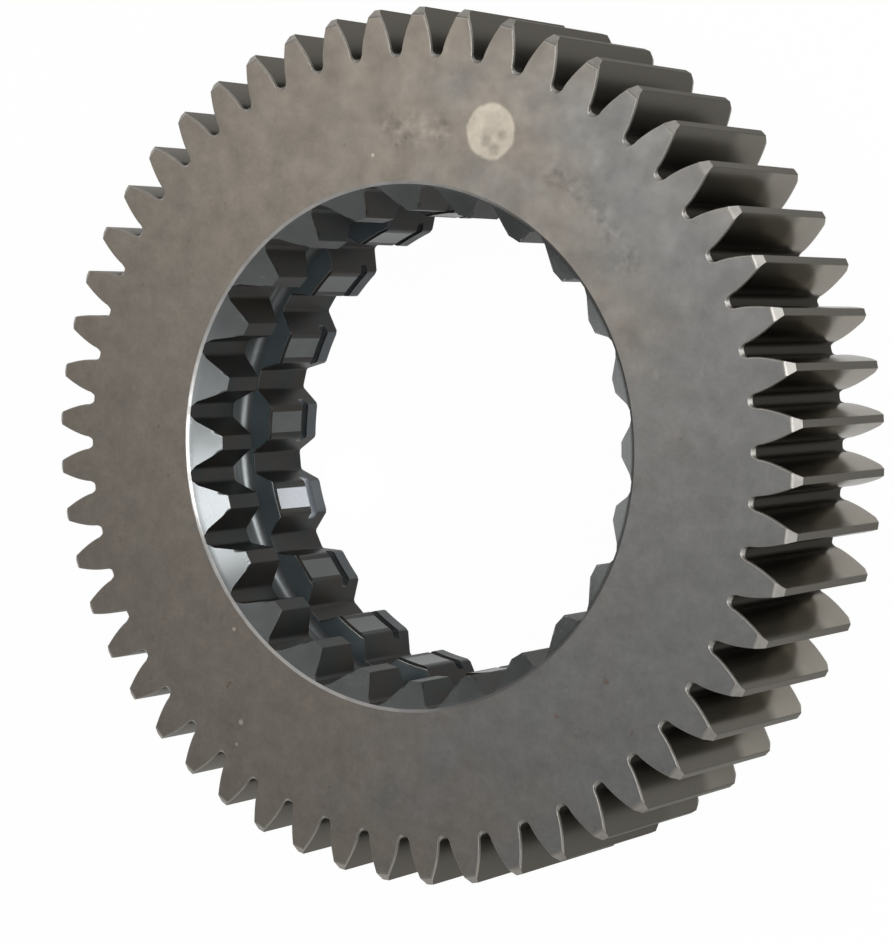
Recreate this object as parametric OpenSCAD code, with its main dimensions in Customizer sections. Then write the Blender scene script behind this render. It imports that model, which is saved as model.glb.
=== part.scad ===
// Main drive gear of a heavy gearbox: one steel forging with spur teeth round its rim,
// a row of clutch teeth inside its front face and a row of spline lugs behind them.
// The gear lies on its rear face, with its axis on +Z and its front face upward.

/* [Blank] */
// Width of the gear from its rear face to its front face
face_width = 40; // [36:0.5:48]
// Bore turned through the gear: the clutch teeth and the spline lugs both end on it
bore_d = 94; // [92:0.2:96]
// Chamfer turned on the tips of the gear teeth at both faces
tip_chamfer = 1.6; // [0.4:0.1:2.4]

/* [Gear teeth] */
// Number of teeth round the rim
tooth_count = 52; // [50:1:60]
// Module of the teeth, their pitch diameter over their number
tooth_module = 3.175; // [3.1:0.025:3.4]
// Pressure angle of the teeth
pressure_angle = 20; // [17.5:0.5:22]
// Height of a tooth above the pitch circle
addendum = 4.3; // [3.2:0.1:4.6]
// Depth of a tooth space below the pitch circle
dedendum = 4.95; // [4:0.05:5.2]
// Thickness of a tooth along the pitch circle
tooth_thickness = 5; // [4.6:0.05:5.2]
// Radius in the corners of a tooth space
root_fillet = 1; // [0.4:0.1:1]

/* [Clutch teeth] */
// Number of clutch teeth inside the front face
clutch_teeth = 24; // [20:1:26]
// Diameter across the bottoms of the clutch tooth spaces
clutch_root_d = 104; // [101:0.2:105]
// Length of the clutch row, from the front face to the relief behind it
clutch_depth = 15.5; // [13:0.5:17]
// Width of a clutch tooth where it ends at the bore
clutch_land = 2.9; // [2.4:0.1:3.6]
// Lean of a clutch tooth flank from the middle line of its space
clutch_flank = 31; // [26:1:34]
// Radius on the edges of a clutch tooth where it ends at the bore
clutch_edge = 0.3; // [0.2:0.1:0.6]
// Radius in the bottom corners of a clutch tooth space
clutch_corner = 1.2; // [0.4:0.1:1.6]
// Angle from +X to the middle of the first clutch tooth space
clutch_turn = 2.8; // [0:0.1:15]

/* [Lead-in] */
// Width of the bevel where the front face meets the lead-in cone
lead_bevel = 0.6; // [0.3:0.1:1.2]
// Depth of that bevel
lead_bevel_depth = 0.4; // [0.2:0.1:0.8]
// Depth of the lead-in cone below the front face, where it meets the bore
lead_depth = 5.2; // [4:0.1:8]

/* [Relief] */
// Diameter of the relief turned between the clutch teeth and the spline
relief_d = 109; // [108:0.5:112]
// Width of the relief along the axis
relief_w = 7; // [5:0.5:8]
// Radius in the two corners of the relief
relief_corner = 2.3; // [0.5:0.1:2.6]

/* [Spline] */
// Number of lugs in the spline
lug_count = 18; // [16:1:20]
// Diameter across the bottoms of the spline spaces
spline_root_d = 103; // [100:0.2:105]
// Width of a lug across its tip
lug_tip_width = 6.9; // [5.8:0.1:7.4]
// Lean of a lug flank from the middle line of the space beside it
lug_flank = 29.5; // [24:0.5:34]
// Radius on the edges of a lug tip
lug_edge = 1; // [0.4:0.1:1.4]
// Radius in the bottom corners of a spline space
spline_corner = 0.9; // [0.3:0.1:1.2]
// Chamfer on both ends of the lugs
lug_chamfer = 0.5; // [0.2:0.1:1]
// Angle from +X to the middle of the first lug
lug_turn = 5.7; // [0:0.1:20]

/* [Ring groove] */
// Width of the retaining ring groove across the lugs
groove_w = 2.3; // [1.4:0.1:3]
// Depth of that groove below the lug tips
groove_depth = 1.5; // [0.8:0.1:2]
// Distance from the rear face to the near side of the groove
groove_inset = 3.9; // [2.5:0.1:5]

/* [Hidden] */
$fn = 96;

pitch_r = tooth_count * tooth_module / 2;
base_r = pitch_r * cos(pressure_angle);
tip_r = pitch_r + addendum;
root_r = pitch_r - dedendum;
bore_r = bore_d / 2;
clutch_root_r = clutch_root_d / 2;
spline_root_r = spline_root_d / 2;
relief_r = relief_d / 2;

// Heights of the front and the rear wall of the relief
clutch_z = face_width - clutch_depth;
lug_z = clutch_z - relief_w;

// Extra reach that carries a cut clear of the surface it breaks through
over = 1;
// Straight pieces along one involute flank, and along one rounded corner
flank_steps = 8;
corner_steps = 4;

function polar(r, angle) = [r * cos(angle), r * sin(angle)];
function unit(v) = v / norm(v);
function involute(angle) = tan(angle) * 180 / PI - angle;
function backward(points) = [for (i = [len(points) - 1 : -1 : 0]) points[i]];
function flipped(points) = [for (p = backward(points)) [p.x, -p.y]];

// Half the angle that a gear tooth takes up at radius r
function tooth_half_angle(r) =
    tooth_thickness / pitch_r * 90 / PI + involute(pressure_angle)
    - involute(acos(min(1, base_r / r)));

// Arc of radius rad in the corner at q, between the directions to p and to s
function corner_arc(p, q, s, rad) =
    let (to_p = unit(p - q), to_s = unit(s - q), half = acos(to_p * to_s) / 2)
    let (middle = q + unit(to_p + to_s) * rad / sin(half))
    let (start = q + to_p * rad / tan(half) - middle, end = q + to_s * rad / tan(half) - middle)
    let (from = atan2(start.y, start.x), turn = (atan2(end.y, end.x) - from + 540) % 360 - 180)
    [for (i = [0 : corner_steps]) middle + polar(rad, from + turn * i / corner_steps)];

// One side of the gap between two gear teeth, from beyond the tips to the middle of its root
function tooth_space_side() =
    let (half_pitch = 180 / tooth_count, form_r = root_r + 1.5 * root_fillet)
    let (flank = [for (i = [flank_steps : -1 : 0])
        let (r = form_r + (tip_r + over - form_r) * i / flank_steps)
        polar(r, half_pitch - tooth_half_angle(r))])
    let (foot = polar(root_r, half_pitch - tooth_half_angle(max(root_r, base_r))))
    concat(flank, corner_arc(flank[flank_steps], foot, [foot.x, 0], root_fillet));

// One side of a gap cut outward from the bore, between two of count teeth that are land wide there
function bore_space_side(count, land, lean, bottom, edge, corner) =
    let (mouth = 180 / count - asin(land / 2 / bore_r))
    let (lip = polar(bore_r, mouth), along = polar(1, mouth + 90))
    let (foot = [bottom, lip.y - (bottom - lip.x) * tan(lean)])
    concat(
        [lip + 2 * edge * along - polar(over, mouth)],
        corner_arc(lip + along, lip, foot, edge),
        corner_arc(lip, foot, [bottom, 0], corner)
    );

// Turned section of the forging: its bore with the ring groove, the relief and the lead-in
module section() {
    wall = relief_r - relief_corner;
    rear_corner = corner_arc([wall, lug_z], [relief_r, lug_z], [relief_r, clutch_z], relief_corner);
    front_corner = corner_arc([relief_r, lug_z], [relief_r, clutch_z], [wall, clutch_z], relief_corner);
    polygon(concat(
        [
            [bore_r + lug_chamfer, 0],
            [tip_r - tip_chamfer, 0],
            [tip_r, tip_chamfer],
            [tip_r, face_width - tip_chamfer],
            [tip_r - tip_chamfer, face_width],
            [clutch_root_r + lead_bevel, face_width],
            [clutch_root_r, face_width - lead_bevel_depth],
            [bore_r, face_width - lead_depth],
            [bore_r, clutch_z]
        ],
        backward(front_corner),
        backward(rear_corner),
        [
            [bore_r + lug_chamfer, lug_z],
            [bore_r, lug_z - lug_chamfer],
            [bore_r, groove_inset + groove_w],
            [bore_r + groove_depth, groove_inset + groove_w],
            [bore_r + groove_depth, groove_inset],
            [bore_r, groove_inset],
            [bore_r, lug_chamfer]
        ]
    ));
}

// Gap between two gear teeth, on +X
module tooth_space() {
    side = tooth_space_side();
    translate([0, 0, -over])
        linear_extrude(face_width + 2 * over)
            polygon(concat(side, flipped(side)));
}

// Gap between two clutch teeth, on +X, open to the relief behind it
module clutch_space() {
    side = bore_space_side(
        clutch_teeth, clutch_land, clutch_flank, clutch_root_r, clutch_edge, clutch_corner);
    translate([0, 0, clutch_z - relief_w / 2])
        linear_extrude(clutch_depth + relief_w / 2 + over)
            polygon(concat(side, flipped(side)));
}

// Gap between two spline lugs, on +X, open to the rear face and to the relief
module spline_space() {
    side = bore_space_side(
        lug_count, lug_tip_width, lug_flank, spline_root_r, lug_edge, spline_corner);
    translate([0, 0, -over])
        linear_extrude(lug_z + relief_w / 2 + over)
            polygon(concat(side, flipped(side)));
}

// All the gaps between the gear teeth, with a tooth on +X
module tooth_row() {
    for (i = [0 : tooth_count - 1])
        rotate([0, 0, (i + 0.5) * 360 / tooth_count]) tooth_space();
}

// All the gaps between the clutch teeth
module clutch_row() {
    for (i = [0 : clutch_teeth - 1])
        rotate([0, 0, clutch_turn + i * 360 / clutch_teeth]) clutch_space();
}

// All the gaps between the spline lugs
module spline_row() {
    for (i = [0 : lug_count - 1])
        rotate([0, 0, lug_turn + (i + 0.5) * 360 / lug_count]) spline_space();
}

// The forging with its clutch teeth and spline, before the gear teeth are cut
module bored_blank() {
    difference() {
        rotate_extrude() section();
        clutch_row();
        spline_row();
    }
}

module drive_gear() {
    color("dimgray")
        difference() {
            bored_blank();
            tooth_row();
        }
}

drive_gear();
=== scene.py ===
from math import acos, asin, atan2, cos, pi, radians, sin, sqrt, tan

import bmesh
import bpy
from mathutils import Matrix, Vector


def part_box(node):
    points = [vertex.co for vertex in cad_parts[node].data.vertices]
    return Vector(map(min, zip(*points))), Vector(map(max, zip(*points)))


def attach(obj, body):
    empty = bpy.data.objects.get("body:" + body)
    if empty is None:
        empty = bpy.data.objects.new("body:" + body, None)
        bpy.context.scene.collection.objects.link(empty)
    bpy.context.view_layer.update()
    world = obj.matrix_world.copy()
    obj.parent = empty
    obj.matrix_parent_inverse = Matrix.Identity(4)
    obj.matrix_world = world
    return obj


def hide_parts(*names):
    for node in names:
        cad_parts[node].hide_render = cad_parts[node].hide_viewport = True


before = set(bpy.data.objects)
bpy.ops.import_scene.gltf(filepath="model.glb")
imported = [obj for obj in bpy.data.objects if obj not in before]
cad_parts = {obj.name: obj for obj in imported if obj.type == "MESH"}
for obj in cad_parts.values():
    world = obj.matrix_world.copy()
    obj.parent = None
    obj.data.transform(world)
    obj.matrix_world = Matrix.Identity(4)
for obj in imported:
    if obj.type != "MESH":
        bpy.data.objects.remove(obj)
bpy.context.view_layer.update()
mm = 0.001

low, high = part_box("drive_gear")
gear = {
    "width": high.z,
    "tipRadius": high.x,  # a tooth stands on +X
    "boreRadius": 47 * mm,
    "ringPoints": 312,  # points round the turned circles
    "sharpAngle": radians(32),  # edges turning more than this are shaded as creases
    "samePoint": 0.001 * mm,  # points nearer than this count as one
    "onTurned": 0.004 * mm,  # points this near to a turned radius lie on it
    "weld": 0.002 * mm,  # the parts of the mesh are joined at this distance
}
print("frame loaded, gear", [round(v / mm, 2) for v in high - low], "mm")

plainFace, edgeFace, turnedFace = 0, 1, 2  # kinds of faces, each with a finish of its own
finishInputs = ("Plain finish", "Edge finish", "Turned finish")  # in the order of the kinds


# One socket of a node tree, with operators that add Math nodes
class Wire:
    def __init__(self, tree, socket):
        self.tree = tree
        self.socket = socket

    def math(self, operation, *others):
        values = dict(enumerate((self,) + others))
        return makeNode(self.tree, "ShaderNodeMath", {"operation": operation}, values)

    def mathAfter(self, operation, first):
        return makeNode(self.tree, "ShaderNodeMath", {"operation": operation}, {0: first, 1: self})

    def __add__(self, other):
        return self.math("ADD", other)

    def __sub__(self, other):
        return self.math("SUBTRACT", other)

    def __rsub__(self, other):
        return self.mathAfter("SUBTRACT", other)

    def __mul__(self, other):
        return self.math("MULTIPLY", other)

    def __truediv__(self, other):
        return self.math("DIVIDE", other)

    def __rtruediv__(self, other):
        return self.mathAfter("DIVIDE", other)

    __radd__ = __add__
    __rmul__ = __mul__

    # 0 at the first value, 1 at the second, smooth between
    def ramp(self, start, end):
        values = {"Value": self, "From Min": start, "From Max": end}
        return makeNode(self.tree, "ShaderNodeMapRange", {"interpolation_type": "SMOOTHSTEP"}, values)


# Any node: its settings first, then the values or links of its sockets
def makeNode(tree, kind, settings=None, sockets=None, output=0):
    node = tree.nodes.new(kind)
    for name, value in (settings or {}).items():
        setattr(node, name, value)
    for name, value in (sockets or {}).items():
        if isinstance(value, Wire):
            tree.links.new(value.socket, node.inputs[name])
        else:
            node.inputs[name].default_value = value
    return Wire(tree, node.outputs[output]) if node.outputs else None


# Outlines in the plane across the axis

def polar(radius, angle):
    return Vector((radius * cos(angle), radius * sin(angle)))


# Rounded corner between the lines to the points before and after it
def cornerArc(before, corner, after, radius, steps):
    toBefore = (before - corner).normalized()
    toAfter = (after - corner).normalized()
    half = acos(toBefore.dot(toAfter)) / 2
    middle = corner + (toBefore + toAfter).normalized() * radius / sin(half)
    start = corner + toBefore * radius / tan(half) - middle
    end = corner + toAfter * radius / tan(half) - middle
    first = atan2(start.y, start.x)
    turn = (atan2(end.y, end.x) - first + 3 * pi) % (2 * pi) - pi
    return [middle + polar(radius, first + turn * i / steps) for i in range(steps + 1)]


# A whole sector from its one side, which ends on the middle line
def mirrored(side):
    return side + [Vector((point.x, -point.y)) for point in reversed(side[:-1])]


# Directions out of the metal; way is 1 where the metal lies inside the outline and -1 where outside
def outwards(points, way):
    directions = []
    for point in points:
        others = [p for p in points if (p - point).length > gear["samePoint"]]
        start = points.index(point)
        before = next((p for p in reversed(points[:start]) if p in others), None)
        after = next((p for p in points[start:] if p in others), None)
        if before and after:
            along = (after - before).normalized()
            directions.append(Vector((-along.y, along.x)) * way)
        else:
            directions.append(point.normalized() * way)  # a sector starts and ends on a middle line
    return directions


def inset(points, amounts, way):
    moves = zip(points, amounts, outwards(points, way))
    return [point - outward * amount for point, amount, outward in moves]


# How far a rounded edge stands back at a depth below the face
def roundedBack(size, depth):
    return size - sqrt(size * size - (size - depth) ** 2) if depth < size else 0


# One sector lofted through its levels: height, outline, and the kinds of the faces after it
def sectorMesh(name, levels):
    count = len(levels[0][1])
    vertices = [(point.x, point.y, height) for height, outline, _ in levels for point in outline]
    faces, kinds = [], []
    for k, (_, _, bandKinds) in enumerate(levels[:-1]):
        first = k * count
        faces += [(i, i + 1, i + 1 + count, i + count) for i in range(first, first + count - 1)]
        kinds += bandKinds if isinstance(bandKinds, list) else [bandKinds] * (count - 1)
    mesh = bpy.data.meshes.new(name)
    mesh.from_pydata(vertices, [], faces)
    mesh.attributes.new("kind", "FLOAT", "FACE").data.foreach_set("value", kinds)
    return mesh


# Geometry Nodes tree that repeats a sector round the axis and gives its faces their finishes
def ringTree():
    tree = bpy.data.node_groups.new("toothRing", "GeometryNodeTree")
    sockets = {"Geometry": "NodeSocketGeometry", "Count": "NodeSocketInt", "Turn": "NodeSocketFloat"}
    sockets.update({name: "NodeSocketMaterial" for name in finishInputs})
    for name, kind in sockets.items():
        tree.interface.new_socket(name, in_out="INPUT", socket_type=kind)
    tree.interface.new_socket("Geometry", in_out="OUTPUT", socket_type="NodeSocketGeometry")
    group = makeNode(tree, "NodeGroupInput").socket.node
    given = {output.name: Wire(tree, output) for output in group.outputs if output.name}
    angle = makeNode(tree, "GeometryNodeInputIndex") * (2 * pi / given["Count"]) + given["Turn"]
    points = makeNode(tree, "GeometryNodePoints", None, {"Count": given["Count"]})
    turned = makeNode(tree, "FunctionNodeAxisAngleToRotation", None, {"Axis": (0, 0, 1), "Angle": angle})
    ring = makeNode(tree, "GeometryNodeInstanceOnPoints", None,
                    {"Points": points, "Instance": given["Geometry"], "Rotation": turned})
    solid = makeNode(tree, "GeometryNodeRealizeInstances", None, {"Geometry": ring})
    kind = makeNode(tree, "GeometryNodeInputNamedAttribute", {"data_type": "FLOAT"}, {"Name": "kind"})
    for number, name in enumerate(finishInputs):
        chosen = kind.math("COMPARE", number, 0.1)  # equal, to within 0.1
        solid = makeNode(tree, "GeometryNodeSetMaterial", None,
                         {"Geometry": solid, "Selection": chosen, "Material": given[name]})
    makeNode(tree, "NodeGroupOutput", None, {0: solid})
    return tree


# The plain mesh of a whole ring of sectors
def ringOf(sector, row, ringFinishes):
    holder = bpy.data.objects.new(sector.name, sector)
    bpy.context.scene.collection.objects.link(holder)
    modifier = holder.modifiers.new("ring", "NODES")
    modifier.node_group = toothRing
    values = {"Count": row["teeth"], "Turn": row["turn"], **ringFinishes}
    for item in toothRing.interface.items_tree:
        if item.in_out == "INPUT" and item.name in values:
            modifier[item.identifier] = values[item.name]
    graph = bpy.context.evaluated_depsgraph_get()
    mesh = bpy.data.meshes.new_from_object(holder.evaluated_get(graph))
    holder.modifiers.remove(modifier)
    bpy.data.objects.remove(holder)
    print("ring of", row["teeth"], sector.name, "with", len(mesh.polygons), "faces")
    return mesh


# Closed outline round the axis, made of one sector's outline
def closedOutline(outline, row):
    count = row["teeth"]
    spins = [Matrix.Rotation(2 * pi * i / count + row["turn"], 2) for i in range(count)]
    return [spin @ point for spin in spins for point in outline[:-1]]


# Finishes

# Object coordinates, for a finish to work with
def gearPlace(tree):
    return makeNode(tree, "ShaderNodeTexCoord", None, None, "Object")


# The named parts of a place
def partsOf(place, axes):
    return [makeNode(place.tree, "ShaderNodeSeparateXYZ", None, {0: place}, axis) for axis in axes]


# Distance from the axis, or from the middle of a mark
def distance(x, y):
    return (x * x + y * y).math("SQRT")


# Smooth noise from 0 to 1; a pattern is its scale and its detail
def noise(tree, place, pattern):
    scale, detail = pattern
    return makeNode(tree, "ShaderNodeTexNoise", None,
                    {"Vector": place, "Scale": scale, "Detail": detail, "Roughness": 0.55})


# A level round 1 that a noise moves up and down by half a share
def around(wire, share):
    return 1 + share * (wire - 0.5)


def mixColour(tree, factor, first, second):
    sockets = {"Factor": factor, 6: first, 7: second}  # 6, 7 and output 2 are the node's colour sockets
    return makeNode(tree, "ShaderNodeMix", {"data_type": "RGBA"}, sockets, 2)


# A colour made lighter or darker
def scaleColour(tree, colour, level):
    vector = colour if isinstance(colour, Wire) else colour[:3]
    return makeNode(tree, "ShaderNodeVectorMath", {"operation": "SCALE"}, {0: vector, "Scale": level})


def newFinish(name):
    finish = bpy.data.materials.new(name)
    finish.use_nodes = True
    tree = finish.node_tree
    shader = tree.nodes["Principled BSDF"]
    return finish, tree, shader


def link(tree, wire, shader, name):
    tree.links.new(wire.socket, shader.inputs[name])


# 1 inside a round mark, 0 outside it; a mark is its place and radius in mm
def roundMark(x, y, mark, soft):
    away = distance(x - mark[0] * mm, y - mark[1] * mm)
    return away.ramp((mark[2] + soft) * mm, (mark[2] - soft) * mm)


# 1 along a short scratch; a scratch is its two ends and its half width in mm
def scratchMark(x, y, mark):
    middle = Vector((mark[0] + mark[2], mark[1] + mark[3])) / 2 * mm
    along = Vector((mark[2] - mark[0], mark[3] - mark[1])) * mm
    half, way = along.length / 2, along.normalized()
    dx, dy = x - middle.x, y - middle.y
    lengthways = (dx * way.x + dy * way.y).math("ABSOLUTE").ramp(half, half * 0.3)  # tapers to its ends
    across = (dy * way.x - dx * way.y).math("ABSOLUTE").ramp(mark[4] * mm, 0)
    return lengthways * across


# Flat faces, ground and then stained by heat and handling
groundSteel = {
    "warm": (0.245, 0.220, 0.192, 1),
    "cool": (0.213, 0.214, 0.213, 1),  # toward +X
    "coolReach": 120 * mm,
    "coolRange": (0.4, 1.0),
    "rust": (0.170, 0.098, 0.066, 1),
    "rustShare": 0.5,
    "bare": (0.47, 0.43, 0.37, 1),  # ground bare for a hardness test
    "broad": (45, 3),  # noise patterns, from here to the grain
    "tint": (110, 3),
    "cloud": (150, 4),
    "wobble": (260, 2),
    "specks": (330, 2),
    "speckFields": (30, 1),
    "blotch": (420, 3),
    "scuffed": (520, 2),
    "dented": (700, 3),
    "grain": (1100, 2),
    "tintShare": 0.5,
    "level": 0.46,  # of the colour, before the noises add their shares
    "cloudShare": 0.48,
    "blotchShare": 0.3,
    "grainShare": 0.28,
    "scuffShare": 1.1,
    "scuffMiddle": 0.52,  # noise above this lightens a scuff, and below it darkens
    "speckRange": (0.68, 0.76),
    "fieldRange": (0.5, 0.6),
    "testSpot": (10.8, 63.7, 5.4),
    "testDents": [(9.4, 62.4, 1.1), (12.9, 63.9, 1.0), (11.6, 60.9, 1.2)],
    "spotSoft": 0.45,  # half widths of soft edges, in mm
    "dentSoft": 0.6,
    "nickSoft": 0.2,
    "wobbleReach": 1.2 * mm,
    "bareLevel": 0.6,
    "bareShare": 0.4,
    "dentShare": 0.5,
    "scuffs": [(-12.5, 61.5, 3.2), (-7.5, 62.0, 3.4), (-1.5, 62.5, 3.0), (26, 57.8, 2.6), (31, 55.6, 2.4),
               (36, 52.6, 2.6), (40, 49.5, 2.4), (44.5, 44.5, 2.8)],
    "scuffSoft": 0.5,  # as a share of the radius
    "nicks": [(-16.0, 55.9, 0.35), (-33.3, -44.6, 0.4), (-28.4, -63.1, 0.55), (-28.7, -67.8, 0.3)],
    "scratches": [(52.9, 25.2, 56.8, 21.8, 0.9), (59.5, 24.8, 62.9, 22.0, 0.7),
                  (66.9, 16.2, 70.0, 15.6, 0.8)],
    "scratchShare": 0.2,
    "scratchRange": (0.4, 0.6),
    "frontDepths": (2 * mm, 1 * mm),
    "roughness": 0.52,
    "cloudGloss": 0.12,
    "grainDull": 0.1,
    "metallic": 0.8,
    "bumpStrength": 0.12,
    "bumpDepth": 0.05 * mm,
}


def makeGroundFinish():
    finish, tree, shader = newFinish("groundSteel")
    steel, place = groundSteel, gearPlace(tree)
    x, y, z = partsOf(place, "XYZ")
    broad, tint, cloud = (noise(tree, place, steel[name]) for name in ("broad", "tint", "cloud"))
    blotch, grain = noise(tree, place, steel["blotch"]), noise(tree, place, steel["grain"])
    cool = (x / steel["coolReach"] + broad).ramp(*steel["coolRange"]) + steel["tintShare"] * (tint - 0.5)
    colour = mixColour(tree, cool, steel["warm"], steel["cool"])

    # clouds, grain and scuffs
    level = steel["level"] + steel["cloudShare"] * cloud + steel["blotchShare"] * blotch
    scuffs = sum(roundMark(x, y, scuff, steel["scuffSoft"] * scuff[2]) for scuff in steel["scuffs"])
    scuffed = scuffs * (noise(tree, place, steel["scuffed"]) - steel["scuffMiddle"])
    level = level + steel["grainShare"] * grain + steel["scuffShare"] * scuffed
    colour = scaleColour(tree, colour, level)
    fields = noise(tree, place, steel["speckFields"]).ramp(*steel["fieldRange"])
    specks = noise(tree, place, steel["specks"]).ramp(*steel["speckRange"]) * fields
    colour = mixColour(tree, specks * steel["rustShare"], colour, steel["rust"])

    # bare test spot with its dents, then nicks and scratches, all on the front face
    front = z.ramp(*(gear["width"] - depth for depth in steel["frontDepths"]))
    wobble = noise(tree, place, steel["wobble"]) * steel["wobbleReach"]
    spot = roundMark(x + wobble, y - wobble, steel["testSpot"], steel["spotSoft"]) * front
    dents = sum(roundMark(x, y, dent, steel["dentSoft"]) for dent in steel["testDents"])
    dents = dents * noise(tree, place, steel["dented"])
    bareLevel = steel["bareLevel"] + steel["bareShare"] * (cloud + blotch) - steel["dentShare"] * dents
    colour = mixColour(tree, spot, colour, scaleColour(tree, steel["bare"], bareLevel))
    nicks = sum(roundMark(x, y, nick, steel["nickSoft"]) for nick in steel["nicks"])
    scratches = sum(scratchMark(x, y, scratch) for scratch in steel["scratches"])
    marks = nicks + steel["scratchShare"] * scratches * blotch.ramp(*steel["scratchRange"])
    colour = mixColour(tree, marks * front, colour, steel["bare"])

    link(tree, colour, shader, "Base Color")
    roughness = steel["roughness"] - steel["cloudGloss"] * cloud + steel["grainDull"] * grain
    link(tree, roughness, shader, "Roughness")
    shader.inputs["Metallic"].default_value = steel["metallic"]
    bump = makeNode(tree, "ShaderNodeBump", None,
                    {"Strength": steel["bumpStrength"], "Distance": steel["bumpDepth"], "Height": grain})
    link(tree, bump, shader, "Normal")
    return finish


# Flanks and tip lands of the rim teeth
oiledSteel = {
    "reflectionPale": (0.290, 0.272, 0.236, 1),  # painted reflection, at the rear on the +X side
    "dark": (0.100, 0.094, 0.081, 1),
    "tipLand": (0.110, 0.104, 0.090, 1),
    "rootDark": (0.045, 0.042, 0.036, 1),
    "reflectionTurn": 0.1,  # the painted reflection lies on +X, a little toward +Y
    "reflectionRange": (45 * mm, 75 * mm),
    "rearHeights": (16 * mm, 11 * mm),
    "frontShare": 0.1,
    "tipDepths": (0.3 * mm, 0.05 * mm),
    "rootDarkRadii": (79.6 * mm, 77.9 * mm),
    "cloud": (70, 3),
    "cloudShare": 0.4,
    "grain": (900, 2),
    "grainShare": 0.12,
    "roughness": 0.16,
    "sideDull": 0.2,  # added to the roughness away from the side with the painted reflection
    "tipDull": 0.14,
    "rootDull": 0.35,
    "grainDull": 0.03,
    "metallic": 0.95,
    "tint": (0.76, 0.74, 0.71, 1),  # dull where seen along the face
}


def makeFlankFinish():
    finish, tree, shader = newFinish("oiledSteel")
    steel, place = oiledSteel, gearPlace(tree)
    x, y, z = partsOf(place, "XYZ")
    radius = distance(x, y)
    cloud, grain = noise(tree, place, steel["cloud"]), noise(tree, place, steel["grain"])
    # painted reflection: the rear of the flanks on the +X side is paler
    side = (x + steel["reflectionTurn"] * y).ramp(*steel["reflectionRange"])
    rear = steel["frontShare"] + (1 - steel["frontShare"]) * z.ramp(*steel["rearHeights"])
    paintedReflection = side * rear * around(cloud, steel["cloudShare"])
    colour = mixColour(tree, paintedReflection, steel["dark"], steel["reflectionPale"])
    tip = radius.ramp(*(gear["tipRadius"] - depth for depth in steel["tipDepths"]))
    colour = mixColour(tree, tip, colour, steel["tipLand"])
    # darker toward the bottoms of the spaces
    root = radius.ramp(*steel["rootDarkRadii"])
    colour = mixColour(tree, root, colour, steel["rootDark"])
    colour = scaleColour(tree, colour, around(grain, steel["grainShare"]))
    link(tree, colour, shader, "Base Color")
    dull = steel["sideDull"] * (1 - side) + steel["tipDull"] * tip + steel["rootDull"] * root
    link(tree, steel["roughness"] + dull + steel["grainDull"] * grain, shader, "Roughness")
    shader.inputs["Metallic"].default_value = steel["metallic"]
    shader.inputs["Specular Tint"].default_value = steel["tint"]
    return finish


# Broken edges of the rim, with a painted highlight at the roots and on the tip chamfers
edgeSteel = {
    "plain": (0.32, 0.30, 0.27, 1),
    "paintedHighlight": (0.44, 0.415, 0.38, 1),
    "rootRadii": (77.7 * mm, 77.25 * mm),
    "tipDepths": (1.55 * mm, 1.4 * mm),
    "wear": (520, 3),
    "wearRange": (0.3, 0.6),
    "wearShare": 0.6,
    "roughness": 0.42,
    "metallic": 0.7,
    "tint": (0.8, 0.78, 0.75, 1),
}


def makeEdgeFinish():
    finish, tree, shader = newFinish("edgeSteel")
    steel, place = edgeSteel, gearPlace(tree)
    radius = distance(*partsOf(place, "XY"))
    # painted highlight at the roots and on the tip chamfers, thinned where a wear noise is low
    tips = radius.ramp(*(gear["tipRadius"] - depth for depth in steel["tipDepths"]))
    paintedHighlight = radius.ramp(*steel["rootRadii"]) + tips
    wear = noise(tree, place, steel["wear"]).ramp(*steel["wearRange"])
    paintedHighlight = paintedHighlight * (1 - steel["wearShare"] * (1 - wear))
    colour = mixColour(tree, paintedHighlight, steel["plain"], steel["paintedHighlight"])
    link(tree, colour, shader, "Base Color")
    shader.inputs["Roughness"].default_value = steel["roughness"]
    shader.inputs["Metallic"].default_value = steel["metallic"]
    shader.inputs["Specular Tint"].default_value = steel["tint"]
    return finish


# Flanks of the clutch teeth and the lugs
boreSteel = {
    "dark": (0.020, 0.023, 0.023, 1),
    "brown": (0.032, 0.027, 0.021, 1),
    "rearTip": (0.085, 0.093, 0.098, 1),  # tips of the lugs behind the groove
    "rearRadii": (47.4 * mm, 47.1 * mm),
    "rearHeights": (4.2 * mm, 3.9 * mm),
    "cloud": (120, 3),
    "cloudRange": (0.35, 0.65),
    "roughness": 0.34,
    "cloudDull": 0.15,
    "metallic": 0.5,
    "specular": 0.2,
}


def makeBoreFinish():
    finish, tree, shader = newFinish("boreSteel")
    steel, place = boreSteel, gearPlace(tree)
    x, y, z = partsOf(place, "XYZ")
    cloud = noise(tree, place, steel["cloud"])
    colour = mixColour(tree, cloud.ramp(*steel["cloudRange"]), steel["dark"], steel["brown"])
    rearTip = distance(x, y).ramp(*steel["rearRadii"]) * z.ramp(*steel["rearHeights"])
    colour = mixColour(tree, rearTip, colour, steel["rearTip"])
    link(tree, colour, shader, "Base Color")
    link(tree, steel["roughness"] + steel["cloudDull"] * cloud, shader, "Roughness")
    shader.inputs["Metallic"].default_value = steel["metallic"]
    shader.inputs["Specular IOR Level"].default_value = steel["specular"]
    return finish


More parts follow.
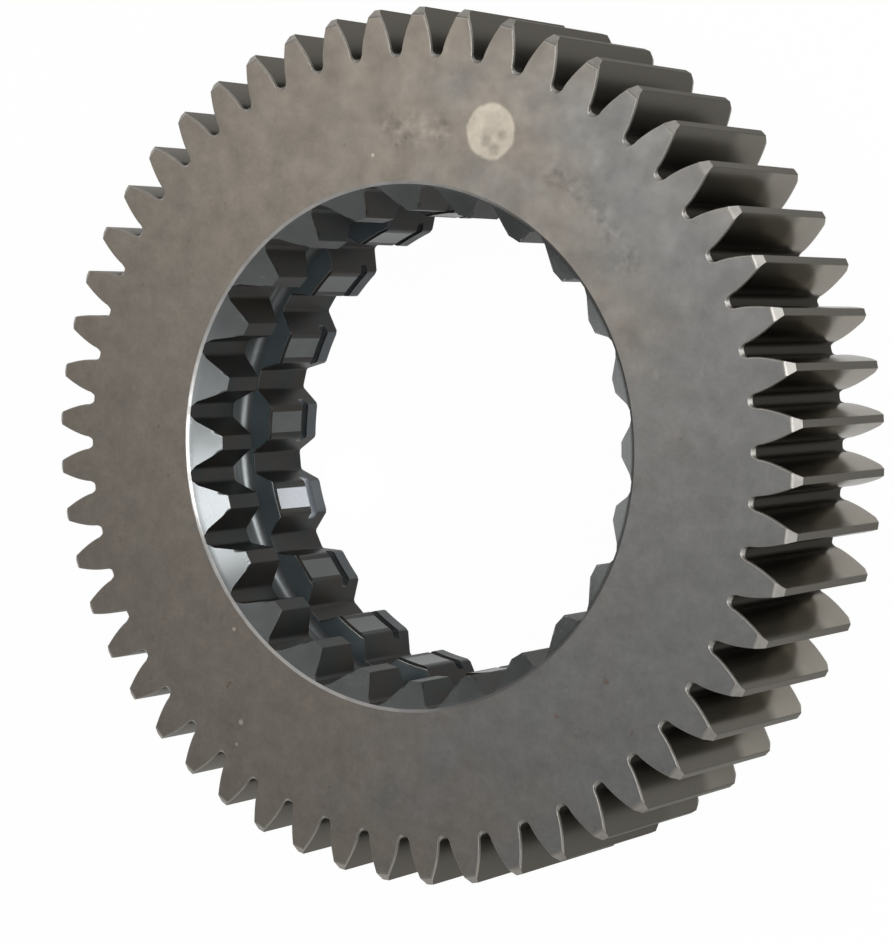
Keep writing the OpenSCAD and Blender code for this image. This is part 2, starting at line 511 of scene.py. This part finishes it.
# Turned faces in the bore: the lead-in cone, the relief, the groove and the tips of the lugs
turnedSteel = {
    "colour": (0.138, 0.144, 0.143, 1),
    # pale colour painted as a reflection on one lug tip and as light in the groove
    "paintedLight": (0.42, 0.435, 0.455, 1),
    "reflectionLug": (-42.35, -20.38, 4.4),
    "reflectionSoft": 0.4,
    "coneHeights": (30 * mm, 34 * mm),
    "coneLift": 0.3,  # the cone is paler and less metallic
    "coneDrop": 0.15,
    "reliefHeights": (25 * mm, 24.2 * mm),
    "reliefRadii": (51.9 * mm, 52.4 * mm),
    "reliefLift": 0.5,
    "reliefDull": 0.14,
    "lugHeights": (17.8 * mm, 17.2 * mm),
    "lugShade": 0.3,
    "grooveHeights": (6.6 * mm, 6.3 * mm),
    "grooveRadii": (47.3 * mm, 47.6 * mm),
    "grooveLightShare": 0.2,
    "cloud": (160, 3),
    "cloudShare": 0.5,
    "cloudDull": 0.12,
    "roughness": 0.2,
    "metallic": 0.8,
}


def makeTurnedFinish():
    finish, tree, shader = newFinish("turnedSteel")
    steel, place = turnedSteel, gearPlace(tree)
    x, y, z = partsOf(place, "XYZ")
    radius, cloud = distance(x, y), noise(tree, place, steel["cloud"])
    cone, lugs = z.ramp(*steel["coneHeights"]), z.ramp(*steel["lugHeights"])
    inRelief = radius.ramp(*steel["reliefRadii"]) * z.ramp(*steel["reliefHeights"])
    inGroove = radius.ramp(*steel["grooveRadii"]) * z.ramp(*steel["grooveHeights"])
    level = 1 - steel["lugShade"] * lugs + steel["coneLift"] * cone
    level = around(cloud, steel["cloudShare"]) * level + steel["reliefLift"] * inRelief
    colour = scaleColour(tree, steel["colour"], level)
    # painted light lifts the shaded groove
    colour = mixColour(tree, inGroove * steel["grooveLightShare"], colour, steel["paintedLight"])
    # painted reflection on the tip of one lug
    paintedLight = roundMark(x, y, steel["reflectionLug"], steel["reflectionSoft"]) * lugs
    colour = mixColour(tree, paintedLight, colour, steel["paintedLight"])
    link(tree, colour, shader, "Base Color")
    dull = steel["cloudDull"] * cloud + steel["reliefDull"] * inRelief
    link(tree, steel["roughness"] + dull, shader, "Roughness")
    link(tree, steel["metallic"] - steel["coneDrop"] * cone, shader, "Metallic")
    return finish


# End walls of the relief
wallSteel = {
    "plain": (0.090, 0.112, 0.120, 1),
    "worn": (0.102, 0.124, 0.132, 1),
    "cloud": (180, 3),
    "cloudRange": (0.35, 0.65),
    "roughness": 0.36,
    "cloudDull": 0.12,
    "metallic": 0.5,
}


def makeWallFinish():
    finish, tree, shader = newFinish("wallSteel")
    steel = wallSteel
    cloud = noise(tree, gearPlace(tree), steel["cloud"])
    colour = mixColour(tree, cloud.ramp(*steel["cloudRange"]), steel["plain"], steel["worn"])
    link(tree, colour, shader, "Base Color")
    link(tree, steel["roughness"] + steel["cloudDull"] * cloud, shader, "Roughness")
    shader.inputs["Metallic"].default_value = steel["metallic"]
    return finish


# Narrow bevel between the front face and the lead-in cone
bevelSteel = {
    "plain": (0.47, 0.46, 0.44, 1),
    "worn": (0.57, 0.555, 0.53, 1),
    "dull": (0.20, 0.195, 0.185, 1),  # painted shade on the +X side
    "paintedShadeRange": (0, 26 * mm),
    "wear": (240, 3),
    "wearRange": (0.35, 0.65),
    "roughness": 0.17,
    "wearDull": 0.06,
    "metallic": 0.55,
}


def makeBevelFinish():
    finish, tree, shader = newFinish("bevelSteel")
    steel, place = bevelSteel, gearPlace(tree)
    x, = partsOf(place, "X")
    wear = noise(tree, place, steel["wear"])
    colour = mixColour(tree, wear.ramp(*steel["wearRange"]), steel["plain"], steel["worn"])
    # painted shade over the bevel on the +X side
    colour = mixColour(tree, x.ramp(*steel["paintedShadeRange"]), colour, steel["dull"])
    link(tree, colour, shader, "Base Color")
    link(tree, steel["roughness"] + steel["wearDull"] * wear, shader, "Roughness")
    shader.inputs["Metallic"].default_value = steel["metallic"]
    return finish


groundFinish = makeGroundFinish()
flankFinish = makeFlankFinish()
edgeFinish = makeEdgeFinish()
boreFinish = makeBoreFinish()
turnedFinish = makeTurnedFinish()
wallFinish = makeWallFinish()
bevelFinish = makeBevelFinish()
finishes = [groundFinish, flankFinish, edgeFinish, boreFinish, turnedFinish, wallFinish, bevelFinish]
print("finishes made:", ", ".join(finish.name for finish in finishes))

toothRing = ringTree()


# Rim: involute teeth, with their tips chamfered and every edge rounded

rim = {
    "teeth": 52,
    "module": 3.175 * mm,
    "pressureAngle": radians(20),
    "thickness": 5 * mm,  # along the pitch circle
    "rootDepth": 4.95 * mm,  # below the pitch circle
    "rootCorner": 1 * mm,
    "formRise": 1.5,  # the flank starts this many corner radii above the root
    "tipChamfer": 1.6 * mm,
    "turn": pi / 52,  # the first space stands half a pitch from the tooth on +X
    "edge": 0.25 * mm,
    "rootBreak": 0.7 * mm,  # the edge is broken more at the bottom of a space
    "breakFocus": 6,  # how closely the deeper break keeps to the bottom
    "edgeDepths": (0, 0.03, 0.1, 0.25, 0.45, 0.7),  # in mm
    "flankSteps": 12,
    "cornerSteps": 6,
    "tipSteps": 2,
}
pitchRadius = rim["teeth"] * rim["module"] / 2
baseRadius = pitchRadius * cos(rim["pressureAngle"])
rootRadius = pitchRadius - rim["rootDepth"]
halfPitch = pi / rim["teeth"]


def involute(angle):
    return tan(angle) - angle


# Half the angle that a tooth space takes up at a radius
def spaceHalfAngle(radius):
    tooth = rim["thickness"] / (2 * pitchRadius) + involute(rim["pressureAngle"])
    return halfPitch - tooth + involute(acos(min(1, baseRadius / radius)))


# From the middle of one tooth's tip, through the space, to the middle of the next one's
def rimOutline(tipRadius):
    tipAngle = spaceHalfAngle(tipRadius)
    formRadius = rootRadius + rim["formRise"] * rim["rootCorner"]
    steps, flankSteps = rim["tipSteps"], rim["flankSteps"]
    land = [polar(tipRadius, halfPitch + (tipAngle - halfPitch) * i / steps) for i in range(steps)]
    radii = [tipRadius + (formRadius - tipRadius) * i / flankSteps for i in range(flankSteps + 1)]
    flank = [polar(radius, spaceHalfAngle(radius)) for radius in radii]
    foot = polar(rootRadius, spaceHalfAngle(rootRadius))
    floor = Vector((foot.x, 0))
    corner = cornerArc(flank[-1], foot, floor, rim["rootCorner"], rim["cornerSteps"])
    return mirrored(land + flank + corner + [floor])


# The outline at a depth below a face, stood back where its edge is broken
def brokenOutline(depth):
    outline = rimOutline(gear["tipRadius"] - rim["tipChamfer"] + depth)
    rounded = roundedBack(rim["edge"], depth)
    deeper = max(0, rim["rootBreak"] - depth) - rounded
    amounts = []
    for point, outward in zip(outline, outwards(outline, 1)):
        facing = max(0, outward.dot(point.normalized())) if point.length < pitchRadius else 0
        amounts.append(rounded + max(0, deeper) * facing ** rim["breakFocus"])
    return inset(outline, amounts, 1)


# Levels from a face to the middle of the rim's width, and the kinds of the faces after each
def rimLevels():
    levels = [(depth * mm, brokenOutline(depth * mm), edgeFace) for depth in rim["edgeDepths"]]
    whole = rimOutline(gear["tipRadius"])
    steps, count = rim["tipSteps"], len(whole) - 1
    chamferKinds = [edgeFace if i < steps or i >= count - steps else plainFace for i in range(count)]
    levels[-1] = (*levels[-1][:2], chamferKinds)
    return levels + [(rim["tipChamfer"], whole, plainFace), (gear["width"] / 2, whole, plainFace)]


# Levels from the front face to the rear face
def rimStackLevels():
    half = rimLevels()
    front = [(gear["width"] - depth, outline, kinds) for depth, outline, kinds in half]
    rear = [(*half[k][:2], half[k - 1][2]) for k in range(len(half) - 2, 0, -1)]
    return front + rear + [half[0]]


rimStack = rimStackLevels()
rimFinishes = {"Plain finish": flankFinish, "Edge finish": edgeFinish, "Turned finish": edgeFinish}
rimMesh = ringOf(sectorMesh("rimTooth", rimStack), rim, rimFinishes)


# Rows of teeth inside the bore: clutch teeth at the front, spline lugs at the rear

clutch = {
    "teeth": 24,
    "land": 2.9 * mm,  # width of a tooth where it ends at the bore
    "lean": radians(31),  # of a flank, from the middle line of its space
    "rootRadius": 52 * mm,
    "lipRound": 0.3 * mm,
    "rootCorner": 1.2 * mm,
    "turn": radians(2.8),  # from +X to the first space
    "depth": 15.5 * mm,
    "coneDepth": 5.2 * mm,
    "bevel": 0.6 * mm,
    "bevelDepth": 0.4 * mm,
    "coneSteps": 6,
}
spline = {
    "teeth": 18,
    "land": 6.9 * mm,
    "lean": radians(29.5),
    "rootRadius": 51.5 * mm,
    "lipRound": 1 * mm,
    "rootCorner": 0.9 * mm,
    "turn": radians(5.7 + 10),  # half a pitch past the first lug
    "chamfer": 0.5 * mm,
    "edge": 0.2 * mm,
    "edgeDepths": (0, 0.06, 0.2),  # in mm
    "grooveInset": 3.9 * mm,
    "grooveWidth": 2.3 * mm,
    "grooveDepth": 1.5 * mm,
    "grooveDraft": 0.06 * mm,
}
relief = {"radius": 54.5 * mm, "width": 7 * mm, "corner": 2.3 * mm, "cornerSteps": 8}
boreSteps = {"land": 4, "lip": 3, "flank": 6, "root": 4}  # straight pieces along a side of a space
justInside = 0.9999  # keeps a turned radius off the floor of a space
clutchZ = gear["width"] - clutch["depth"]
lugZ = clutchZ - relief["width"]


# One side of a space in the bore, from the lip of the tooth beside it to the middle of its floor
def boreSide(row):
    mouth = pi / row["teeth"] - asin(row["land"] / 2 / gear["boreRadius"])
    lip = polar(gear["boreRadius"], mouth)
    foot = Vector((row["rootRadius"], lip.y - (row["rootRadius"] - lip.x) * tan(row["lean"])))
    floor = Vector((row["rootRadius"], 0))
    besideLip = lip + polar(1, mouth + pi / 2)
    lipArc = cornerArc(besideLip, lip, foot, row["lipRound"], boreSteps["lip"])
    rootArc = cornerArc(lip, foot, floor, row["rootCorner"], boreSteps["root"])
    steps = boreSteps["flank"]
    flank = [lipArc[-1].lerp(rootArc[0], i / steps) for i in range(1, steps)]
    return lipArc + flank + rootArc + [floor]


# Outline of a sector in the bore where its teeth have been turned back to an inner radius
def boreOutline(row, innerRadius):
    side = boreSide(row)
    limit = min(innerRadius, row["rootRadius"] * justInside)
    kept = []
    for i, point in enumerate(side):
        if point.length < limit:
            later = next(p for p in side[i:] if p.length >= limit)
            before = side[side.index(later) - 1]
            share = (limit - before.length) / (later.length - before.length)
            point = before.lerp(later, share)
        kept.append(point)
    lipAngle = atan2(kept[0].y, kept[0].x)
    sector, steps = pi / row["teeth"], boreSteps["land"]
    land = [polar(limit, sector + (lipAngle - sector) * i / steps) for i in range(steps)]
    outline = mirrored(land + kept)
    if innerRadius >= row["rootRadius"]:
        outline = [point.normalized() * innerRadius for point in outline]
    return outline


# Kinds of the faces between two levels: turned where both lie on their inner radii
def turnedKinds(levels):
    kinds = []
    for (outline, radius), (nextOutline, nextRadius) in zip(levels, levels[1:]):
        onTurned = [abs(p.length - radius) + abs(q.length - nextRadius) < gear["onTurned"]
                    for p, q in zip(outline, nextOutline)]
        kinds.append([turnedFace if a and b else plainFace for a, b in zip(onTurned, onTurned[1:])])
    return kinds


# From the front face down the bevel and the cone to the relief
def clutchStack():
    front, root, bore = gear["width"], clutch["rootRadius"] * justInside, gear["boreRadius"]
    coneTop = front - clutch["bevelDepth"]
    coneEnd = front - clutch["coneDepth"]
    shares = [i / clutch["coneSteps"] for i in range(clutch["coneSteps"] + 1)]
    radii = [root + (bore - root) * share for share in shares] + [bore]
    heights = [coneTop + (coneEnd - coneTop) * share for share in shares] + [clutchZ]
    outlines = [boreOutline(clutch, radius) for radius in radii]
    kinds = turnedKinds(list(zip(outlines, radii)))[:-1] + [plainFace, plainFace]
    levels = [(front, boreOutline(clutch, clutch["rootRadius"] + clutch["bevel"]), edgeFace)]
    return levels + list(zip(heights, outlines, kinds))


# From the relief down the lugs, across the groove, to the rear face
def splineStack():
    bore, chamfer, draft = gear["boreRadius"], spline["chamfer"], spline["grooveDraft"]
    rear, front = spline["grooveInset"], spline["grooveInset"] + spline["grooveWidth"]
    end, full = boreOutline(spline, bore + chamfer), boreOutline(spline, bore)
    grooveRadius = bore + spline["grooveDepth"]
    groove = boreOutline(spline, grooveRadius)
    tips = turnedKinds([(full, bore)] * 2)[0]
    grooveFloor = turnedKinds([(groove, grooveRadius)] * 2)[0]
    rounding = []
    for depth in spline["edgeDepths"]:
        amounts = [roundedBack(spline["edge"], depth * mm)] * len(end)
        rounding.append((depth * mm, inset(end, amounts, -1)))
    levels = [(lugZ - depth, outline, edgeFace) for depth, outline in rounding]
    levels[-1] = (*levels[-1][:2], plainFace)
    levels += [(lugZ - chamfer, full, tips), (front, full, grooveFloor)]
    levels += [(front - draft, groove, grooveFloor), (rear + draft, groove, grooveFloor)]
    levels += [(rear, full, plainFace), (chamfer, full, plainFace)]
    levels += [(depth, outline, edgeFace) for depth, outline in reversed(rounding)]
    return levels


clutchLevels = clutchStack()
splineLevels = splineStack()
clutchFinishes = {"Plain finish": boreFinish, "Edge finish": bevelFinish, "Turned finish": turnedFinish}
splineFinishes = {**clutchFinishes, "Edge finish": turnedFinish}
clutchMesh = ringOf(sectorMesh("clutchTooth", clutchLevels), clutch, clutchFinishes)
splineMesh = ringOf(sectorMesh("splineLug", splineLevels), spline, splineFinishes)


# The turned relief between the two rows, and the flat faces that close the gear

# Section of the relief: radius and height
def reliefProfile():
    wall = relief["radius"] - relief["corner"]
    rear, front = Vector((relief["radius"], lugZ)), Vector((relief["radius"], clutchZ))
    rearArc = cornerArc(Vector((wall, lugZ)), rear, front, relief["corner"], relief["cornerSteps"])
    frontArc = cornerArc(rear, front, Vector((wall, clutchZ)), relief["corner"], relief["cornerSteps"])
    return rearArc + frontArc


def circle(radius):
    count = gear["ringPoints"]
    return [polar(radius, 2 * pi * i / count) for i in range(count)]


def addRelief(body, slot):
    rings = [[body.verts.new((p.x, p.y, point.y)) for p in circle(point.x)] for point in reliefProfile()]
    for lower, upper in zip(rings, rings[1:]):
        for i in range(len(lower)):
            face = body.faces.new((lower[i - 1], lower[i], upper[i], upper[i - 1]))
            face.material_index = slot


# Flat ring between two closed outlines, as a strip of triangles that follows the angle round the axis
def addFlatRing(body, inner, outer, height, slot):
    loops = []
    for outline in (inner, outer):
        points = sorted(outline, key=lambda p: atan2(p.y, p.x))
        angles = [atan2(p.y, p.x) for p in points]
        loops.append(([body.verts.new((p.x, p.y, height)) for p in points], angles))
    (innerVerts, innerAngles), (outerVerts, outerAngles) = loops
    i = j = 0
    while i < len(innerVerts) or j < len(outerVerts):
        nextInner = innerAngles[i + 1] if i + 1 < len(innerVerts) else innerAngles[0] + 2 * pi
        nextOuter = outerAngles[j + 1] if j + 1 < len(outerVerts) else outerAngles[0] + 2 * pi
        a, b = innerVerts[i % len(innerVerts)], outerVerts[j % len(outerVerts)]
        if j == len(outerVerts) or (i < len(innerVerts) and nextInner < nextOuter):
            i += 1
            corners = (a, b, innerVerts[i % len(innerVerts)])
        else:
            j += 1
            corners = (a, b, outerVerts[j % len(outerVerts)])
        body.faces.new(corners).material_index = slot


def buildGear():
    body = bmesh.new()
    for mesh in (rimMesh, clutchMesh, splineMesh):
        # a slot that no face uses holds no finish
        slots = [finishes.index(finish or groundFinish) for finish in mesh.materials]
        for polygon in mesh.polygons:
            polygon.material_index = slots[polygon.material_index]
        body.from_mesh(mesh)
    ground, endWall = finishes.index(groundFinish), finishes.index(wallFinish)
    rimFront, rimRear = (closedOutline(rimStack[k][1], rim) for k in (0, -1))
    clutchFront, clutchRear = (closedOutline(clutchLevels[k][1], clutch) for k in (0, -1))
    lugFront, lugRear = (closedOutline(splineLevels[k][1], spline) for k in (0, -1))
    wall = circle(relief["radius"] - relief["corner"])
    addFlatRing(body, clutchFront, rimFront, gear["width"], ground)
    addFlatRing(body, lugRear, rimRear, 0, ground)
    addFlatRing(body, clutchRear, wall, clutchZ, endWall)
    addFlatRing(body, lugFront, wall, lugZ, endWall)
    addRelief(body, finishes.index(turnedFinish))
    bmesh.ops.remove_doubles(body, verts=body.verts, dist=gear["weld"])
    bmesh.ops.dissolve_degenerate(body, dist=gear["samePoint"], edges=body.edges)
    bmesh.ops.recalc_face_normals(body, faces=body.faces)
    openEdges = sum(1 for edge in body.edges if len(edge.link_faces) != 2)
    mesh = bpy.data.meshes.new("driveGear")
    body.to_mesh(mesh)
    body.free()
    for finish in finishes:
        mesh.materials.append(finish)
    mesh.shade_smooth()
    mesh.set_sharp_from_angle(angle=gear["sharpAngle"])
    print("gear mesh", len(mesh.polygons), "faces,", openEdges, "open edges")
    return bpy.data.objects.new("driveGear", mesh)


driveGear = buildGear()
bpy.context.scene.collection.objects.link(driveGear)
weighted = driveGear.modifiers.new("weightedNormals", "WEIGHTED_NORMAL")
weighted.keep_sharp = True
graph = bpy.context.evaluated_depsgraph_get()
shaded = bpy.data.meshes.new_from_object(driveGear.evaluated_get(graph))
driveGear.modifiers.remove(weighted)
driveGear.data = shaded
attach(driveGear, "root")
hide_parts("drive_gear")
print("gear in place")


# Floor, light and camera

stage = {
    "size": 6.0,
    "colour": (0.86, 0.86, 0.86, 1),
    "white": (1, 1, 1, 1),
    "seenFloor": 0.98,  # share of plain white that the camera sees, the rest keeps the shadow
    "mirroredFloor": 0.6,  # the same in reflections
    "seenSky": 1,
    "mirroredSky": 0,
    "skyLevel": 0.25,  # of the sky as a light
}


# How much of a surface or the sky is plain white for the ray that looks at it
def whiteShare(tree, seen, reflected):
    camera = makeNode(tree, "ShaderNodeLightPath", None, None, "Is Camera Ray")
    glossy = makeNode(tree, "ShaderNodeLightPath", None, None, "Is Glossy Ray")
    passed = makeNode(tree, "ShaderNodeLightPath", None, None, "Is Transmission Ray")
    return camera * seen + glossy.math("MAXIMUM", passed) * reflected


def makeFloor():
    mesh = bpy.data.meshes.new("floor")
    half = stage["size"] / 2
    corners = [(-half, -half, 0), (half, -half, 0), (half, half, 0), (-half, half, 0)]
    mesh.from_pydata(corners, [], [(0, 1, 2, 3)])
    finish = bpy.data.materials.new("paleFloor")
    finish.use_nodes = True
    tree = finish.node_tree
    tree.nodes.clear()
    plain = makeNode(tree, "ShaderNodeBsdfDiffuse", None, {"Color": stage["colour"]})
    white = makeNode(tree, "ShaderNodeEmission", None, {"Color": stage["white"], "Strength": 1.0})
    share = whiteShare(tree, stage["seenFloor"], stage["mirroredFloor"])
    mixed = makeNode(tree, "ShaderNodeMixShader", None, {0: share, 1: plain, 2: white})
    makeNode(tree, "ShaderNodeOutputMaterial", None, {"Surface": mixed})
    mesh.materials.append(finish)
    floor = bpy.data.objects.new("floor", mesh)
    bpy.context.scene.collection.objects.link(floor)


def addLamp(name, lamp):
    light = bpy.data.lights.new(name, lamp["kind"])
    light.energy = lamp["power"]
    light.color = lamp["colour"]
    if lamp["kind"] == "AREA":
        light.shape = "ELLIPSE"
        light.size, light.size_y = lamp["size"]
    else:
        light.spot_size = lamp["size"]
        light.spot_blend = lamp["blend"]
        light.shadow_soft_size = lamp["bulb"]
    holder = bpy.data.objects.new(name, light)
    holder.location = lamp["place"]
    ahead = Vector(lamp["aim"]) - Vector(lamp["place"])
    holder.rotation_euler = ahead.to_track_quat("-Z", "Y").to_euler()
    bpy.context.scene.collection.objects.link(holder)


lamps = {
    "topLamp": {"kind": "AREA", "place": (-0.17, 0.09, 0.42), "aim": (0, 0.03, 0.04),
                "size": (0.14, 0.14), "power": 0.47, "colour": (1.0, 0.96, 0.90)},
    "sideLamp": {"kind": "AREA", "place": (0.573, 0.05, 0.595), "aim": (0, 0, 0.04),
                 "size": (0.8, 0.8), "power": 1.2, "colour": (0.94, 0.97, 1.0)},
    "keyLamp": {"kind": "AREA", "place": (0.523, 0.34, 0.505), "aim": (0, 0, 0.04),
                "size": (0.66, 0.2), "power": 2.6, "colour": (0.95, 0.975, 1.0)},
    "flashLamp": {"kind": "AREA", "place": (0.45, 0.09, 0.72), "aim": (-0.05, -0.01, 0.04),
                  "size": (0.5, 0.14), "power": 0.9, "colour": (0.95, 0.97, 1.0)},
    # lights a patch of floor that is seen in a lug
    "boreLamp": {"kind": "SPOT", "place": (0.144, 0.0675, 0.564), "aim": (-0.036, -0.0165, 0),
                 "size": radians(1.3), "blend": 0.5, "bulb": 0.002,
                 "power": 28.0, "colour": (0.93, 0.96, 1.0)},
}

view = {
    "place": (0.31182, 0.07982, 0.54010),  # fitted to the rim and the bore in the photo
    "aim": (0.00884, 0.00977, 0.04),
    "roll": radians(-92.755),
    "lens": 114.768,
    "sensor": 36,
    "shift": (0.00308, -0.06854),
}


def makeCamera():
    camera = bpy.data.cameras.new("camera")
    camera.lens = view["lens"]
    camera.sensor_width = view["sensor"]
    camera.shift_x, camera.shift_y = view["shift"]
    holder = bpy.data.objects.new("camera", camera)
    ahead = Vector(view["aim"]) - Vector(view["place"])
    level = ahead.to_track_quat("-Z", "Y").to_matrix()
    rolled = level @ Matrix.Rotation(view["roll"], 3, "Z")
    holder.matrix_world = Matrix.Translation(view["place"]) @ rolled.to_4x4()
    bpy.context.scene.collection.objects.link(holder)
    bpy.context.scene.camera = holder


def makeSky():
    sky = bpy.data.worlds.new("sky")
    sky.use_nodes = True
    tree = sky.node_tree
    back = tree.nodes["Background"]
    back.inputs["Color"].default_value = stage["white"]
    level = stage["skyLevel"]
    strength = level + (1 - level) * whiteShare(tree, stage["seenSky"], stage["mirroredSky"])
    link(tree, strength, back, "Strength")
    bpy.context.scene.world = sky


makeFloor()
for name, lamp in lamps.items():
    addLamp(name, lamp)
makeCamera()
makeSky()
bpy.context.scene.view_settings.view_transform = "Standard"
print("stage, light and camera set")
